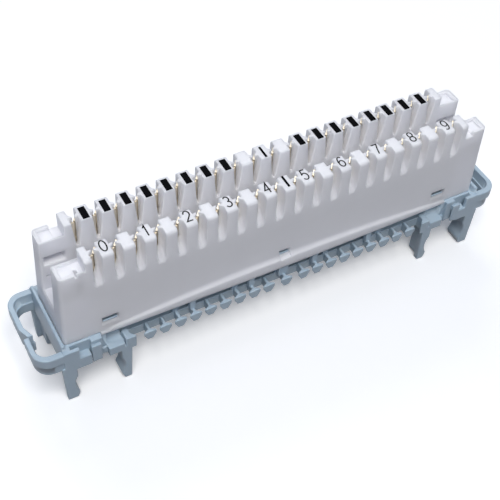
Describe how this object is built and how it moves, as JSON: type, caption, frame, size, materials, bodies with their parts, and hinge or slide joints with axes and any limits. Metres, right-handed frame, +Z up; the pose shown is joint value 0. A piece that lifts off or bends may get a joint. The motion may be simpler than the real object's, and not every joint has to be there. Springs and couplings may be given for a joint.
{
  "type": "punch down wiring block",
  "caption": "Disconnection block with facing rows of numbered insulation-displacement slots, a plug channel between them, wire loops at both ends and legs that clip over two rods.",
  "frame": {"origin": "centre of the rectangle the block stands on, at its leg tips", "axes": "+X along the contact rows, +Y from the numbered front row to the rear row, +Z up from the leg tips to the slot mouths"},
  "size_m": [0.123, 0.0208, 0.0412],
  "materials": {
    "housing_white": "satin moulded",
    "base_grey": "satin moulded",
    "contact_silver": "silver-plated brass"
  },
  "bodies": {
    "root": {"contact_housing": "housing_white", "base_frame": "base_grey", "front_contact_01": "contact_silver", "front_contact_02": "contact_silver", "front_contact_03": "contact_silver", "front_contact_04": "contact_silver", "front_contact_05": "contact_silver", "front_contact_06": "contact_silver", "front_contact_07": "contact_silver", "front_contact_08": "contact_silver", "front_contact_09": "contact_silver", "front_contact_10": "contact_silver", "front_contact_11": "contact_silver", "front_contact_12": "contact_silver", "front_contact_13": "contact_silver", "front_contact_14": "contact_silver", "front_contact_15": "contact_silver", "front_contact_16": "contact_silver", "front_contact_17": "contact_silver", "front_contact_18": "contact_silver", "front_contact_19": "contact_silver", "front_contact_20": "contact_silver", "rear_contact_01": "contact_silver", "rear_contact_02": "contact_silver", "rear_contact_03": "contact_silver", "rear_contact_04": "contact_silver", "rear_contact_05": "contact_silver", "rear_contact_06": "contact_silver", "rear_contact_07": "contact_silver", "rear_contact_08": "contact_silver", "rear_contact_09": "contact_silver", "rear_contact_10": "contact_silver", "rear_contact_11": "contact_silver", "rear_contact_12": "contact_silver", "rear_contact_13": "contact_silver", "rear_contact_14": "contact_silver", "rear_contact_15": "contact_silver", "rear_contact_16": "contact_silver", "rear_contact_17": "contact_silver", "rear_contact_18": "contact_silver", "rear_contact_19": "contact_silver", "rear_contact_20": "contact_silver"}
  },
  "joints": []
}
